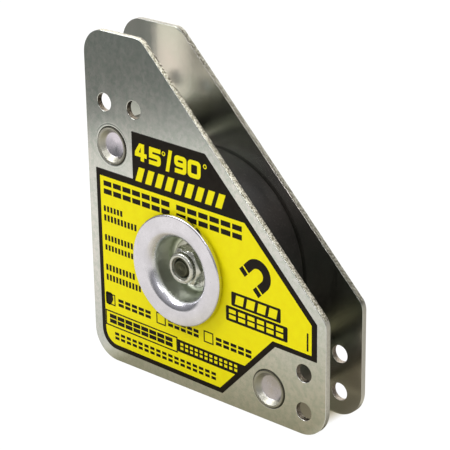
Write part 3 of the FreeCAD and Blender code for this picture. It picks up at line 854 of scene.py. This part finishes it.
def magnet_sign():
    """A plain horseshoe magnet, leaning to the lower left, over two blocks."""
    centre, outer, bore, leg = Vector((69.5, 46.8)), 5.2, 2.2, 2.4
    gap, tip = 0.6, 1.7                                   # the poles stand off the legs' ends
    diagonal = math.sqrt(0.5)
    down, side = Vector((-diagonal, -diagonal)), Vector((-diagonal, diagonal))
    steps = 24

    def arc(radius, order):
        """Points round the arch."""
        return [centre + side * radius * math.cos(math.pi * k / steps)
                - down * radius * math.sin(math.pi * k / steps) for k in order]

    def ends(radius):
        """Where both legs end at a radius from the arch's axis."""
        return centre + side * radius + down * leg, centre - side * radius + down * leg

    left_out, right_out = ends(outer)
    left_in, right_in = ends(bore)
    shapes = [[[left_out] + arc(outer, range(steps + 1)) + [right_out, right_in]
               + arc(bore, range(steps, -1, -1)) + [left_in]]]
    base = centre + down * (leg + gap)
    for sign in (1, -1):
        near, away = base + side * bore * sign, base + side * outer * sign
        shapes.append([[near, away, away + down * tip, near + down * tip]])
    return shapes + [[rect(57.0, 28.9, 81.0, 33.8, 0.5)], [rect(59.2, 34.3, 78.4, 38.9, 0.5)]]


# ---------------------------------------------------------------- build

make_plate("front_plate", True)
make_plate("back_plate", False)
make_magnet()
for post in ("upper_post", "lower_post"):
    make_post(post)
# Inside the cup, the core is partly the zinc's own greener tint and partly painted light, made lighter to brighten
# the hollow.
cup_metal = turned_finish("cup_zinc", (0.645, 0.635, 0.70), (0.745, 0.735, 0.81), 0.21, HUB, anisotropy=0.45,
                          core=(10.3 * MM, 0.9 * MM, (0.76, 0.81, 0.68), 0.18))
fastener_metal = turned_finish("fastener_zinc", (0.52, 0.52, 0.47), (0.70, 0.70, 0.65), 0.26, HUB, anisotropy=0.2)
head_seat = depths("clamp_bolt")[1] - BOLT_HEAD
# The thread's near-black is part stain and part painted shade of the bolt end sunk in the nut; from its seat on,
# the head keeps the zinc colour.
thread_metal = turned_finish("thread_zinc", (0.055, 0.058, 0.038), (0.13, 0.13, 0.09), 0.33, HUB, anisotropy=0.2,
                             head=(head_seat, (0.78, 0.78, 0.72)))
make_cup("front_cup", 1, cup_metal)
make_cup("back_cup", -1, cup_metal)
for washer in ("nut_washer", "head_washer"):
    make_washer(washer, fastener_metal)
make_nut(fastener_metal)
make_insert()
make_bolt(thread_metal)
make_label()


# ---------------------------------------------------------------- studio

def stage_mesh(name, mesh, material, camera):
    """A part of the studio, seen either by the camera or in reflections and by bounced light."""
    data = bpy.data.meshes.new(name)
    mesh.to_mesh(data)
    mesh.free()
    data.materials.append(material)
    card = bpy.data.objects.new(name, data)
    bpy.context.scene.collection.objects.link(card)
    card.visible_camera = camera
    card.visible_glossy = card.visible_diffuse = card.visible_transmission = not camera
    card.visible_shadow = False


def disc(radius, z):
    """A flat disc round the origin."""
    mesh = bmesh.new()
    mesh.faces.new([mesh.verts.new((p.x, p.y, z)) for p in ring(Vector((0, 0)), radius, 96)])
    return mesh


def dome(radius):
    """A ball round the studio."""
    mesh = bmesh.new()
    bmesh.ops.create_icosphere(mesh, subdivisions=4, radius=radius)
    return mesh


def area_light(name, place, target, size, power):
    """A soft white rectangular light aimed at a point, its sizes in metres and its power in watts."""
    lamp = bpy.data.lights.new(name, "AREA")
    lamp.shape = "RECTANGLE"
    lamp.size, lamp.size_y = size
    lamp.energy = power
    light = bpy.data.objects.new(name, lamp)
    light.location = place
    light.rotation_mode = "QUATERNION"
    light.rotation_quaternion = (Vector(target) - Vector(place)).to_track_quat("-Z", "Y")
    bpy.context.scene.collection.objects.link(light)


def table_finish():
    """What the metal mirrors and is lit by: a table that glows though it is no lamp, with painted shade near the
    holder and between its plates, painted warm bounce near it, and dark past its front edge.
    """
    look = Finish("table", Roughness=1.0, Specular_IOR_Level=0.0)
    look.shader.inputs["Base Color"].default_value = (0, 0, 0, 1)
    x, y, _ = look.split()[:3]
    beside, out = look.math("ABSOLUTE", x), look.math("ABSOLUTE", y)

    def past(value, edge):
        """How far a number is past an edge."""
        return look.math("MAXIMUM", look.math("SUBTRACT", value, edge), 0.0)

    near = look.math("ADD", past(out, HOLDER_HALF_DEEP), look.math("MULTIPLY", past(beside, HOLDER_HALF_LONG), 5.0))
    front = look.math("SUBTRACT", look.math("MULTIPLY", x, TABLE_EDGE_LEAN), y)
    far = look.ramp(front, 0.256, 0.338, soft=True)
    brighter_ahead = look.ramp(front, 0.05, 0.18, 0.9, 1.13)
    before = look.math("MULTIPLY", brighter_ahead, look.ramp(far, 0.0, 1.0, 1.0, TABLE_FAR))
    behind = look.ramp(x, -0.15, 0.08, 1.3, 0.5)
    side = look.ramp(y, -0.02, 0.03)
    glow = look.math("ADD", look.math("MULTIPLY", side, behind),
                     look.math("MULTIPLY", look.math("SUBTRACT", 1.0, side), before))
    # Painted shade: the glow dims towards the holder.
    glow = look.math("MULTIPLY", glow, look.ramp(near, 0.0, 0.055, TABLE_NEAR, TABLE_LIGHT))
    # Painted shade between the plates, deeper towards +X.
    between = look.math("MULTIPLY", look.ramp(out, 0.0065, 0.0075, 1.0, 0.0), look.ramp(x, 0.010, 0.025, 0.1, 0.65))
    glow = look.math("MULTIPLY", glow, look.math("SUBTRACT", 1.0, between))
    # Painted bounce light: the glow turns warmer near the holder.
    tint = look.mix(look.ramp(near, 0.0, 0.08), (1.0, 0.93, 0.64), (1.0, 0.97, 0.90))
    tint = look.mix(far, tint, (0.94, 1.0, 0.93))
    return look.set(Emission_Color=tint, Emission_Strength=glow).material


def floor_finish():
    """The pale floor that the camera sees, with painted shade, dim and beige, between the two plates."""
    look = Finish("floor_white", Roughness=1.0, Specular_IOR_Level=0.0)
    x, y, _ = look.split()[:3]
    # Painted shade between the plates: the glow drops there and turns beige.
    under = look.math("MULTIPLY", look.ramp(look.math("ABSOLUTE", y), 0.0078, 0.009, 1.0, 0.0),
                      look.ramp(look.math("ABSOLUTE", x), 0.035, 0.041, 1.0, 0.0))
    tone = look.mix(under, (0.05, 0.05, 0.05), (0.10, 0.09, 0.065))
    return look.set(Base_Color=tone, Emission_Strength=look.ramp(under, 0.0, 1.0, 0.98, 0.15),
                    Emission_Color=look.mix(under, (1.0, 1.0, 1.0), (1.0, 0.88, 0.58))).material


HOLDER_HALF_LONG, HOLDER_HALF_DEEP = 0.038, 0.0093    # the table's painted shade starts here and deepens towards the holder
TABLE_EDGE_LEAN = -0.634                              # the table's front edge runs askew to the plates
TABLE_NEAR, TABLE_LIGHT, TABLE_FAR = 0.48, 1.0, 0.19  # glow beside the holder (painted shade), away from it and past the edge
STUDIO = 3.0                                          # radius of the floor and the table
stage_mesh("studio_floor", disc(STUDIO, 0.0), floor_finish(), True)
stage_mesh("studio_backdrop", dome(STUDIO + 0.2), backdrop_finish(), True)
stage_mesh("table", disc(STUDIO, -0.0002), table_finish(), False)

aim = Vector((0, 0, TALL / 2))
area_light("key", (-0.45, -0.35, 0.65), aim, (0.4, 0.4), 2.7)
area_light("front", (0.36, -0.62, 0.64), aim, (0.22, 0.12), 0.75)
area_light("back", (-0.28, 0.72, 0.48), aim, (1.2, 0.7), 7)
area_light("top", (0.0, 0.0, 0.85), aim, (0.9, 0.9), 4)

# The world's light grows with height, from just below the horizon to overhead.
SKY_HEIGHTS, SKY_STRENGTHS = (-0.1, 0.9), (0.14, 0.7)
world = bpy.data.worlds.new("studio")
bpy.context.scene.world = world
world.use_nodes = True
sky = world.node_tree
direction = sky.nodes.new("ShaderNodeTexCoord")
height = sky.nodes.new("ShaderNodeSeparateXYZ")
strength = sky.nodes.new("ShaderNodeMapRange")
strength.inputs["From Min"].default_value, strength.inputs["From Max"].default_value = SKY_HEIGHTS
strength.inputs["To Min"].default_value, strength.inputs["To Max"].default_value = SKY_STRENGTHS
sky.links.new(direction.outputs["Generated"], height.inputs[0])
sky.links.new(height.outputs["Z"], strength.inputs["Value"])
sky.links.new(strength.outputs["Result"], sky.nodes["Background"].inputs["Strength"])
sky.nodes["Background"].inputs["Color"].default_value = (1, 1, 1, 1)

# The camera that was fitted to the photo: its place, its own right, up and back axes, and its lens.
CAMERA_PLACE = (0.339688, -0.376062, 0.256216)
CAMERA_AXES = ((0.746589, 0.665143, -0.013799), (-0.237189, 0.285497, 0.928565), (0.621568, -0.689983, 0.370914))
LENS, SENSOR = 144.79, 36.0
camera_data = bpy.data.cameras.new("camera")
camera_data.lens = LENS
camera_data.sensor_width = SENSOR
camera_data.clip_start, camera_data.clip_end = 0.01, 20
camera = bpy.data.objects.new("camera", camera_data)
camera.matrix_world = Matrix.Translation(CAMERA_PLACE) @ Matrix(CAMERA_AXES).transposed().to_4x4()
bpy.context.scene.collection.objects.link(camera)
bpy.context.scene.camera = camera
bpy.context.scene.view_settings.view_transform = "Standard"

bpy.context.view_layer.update()
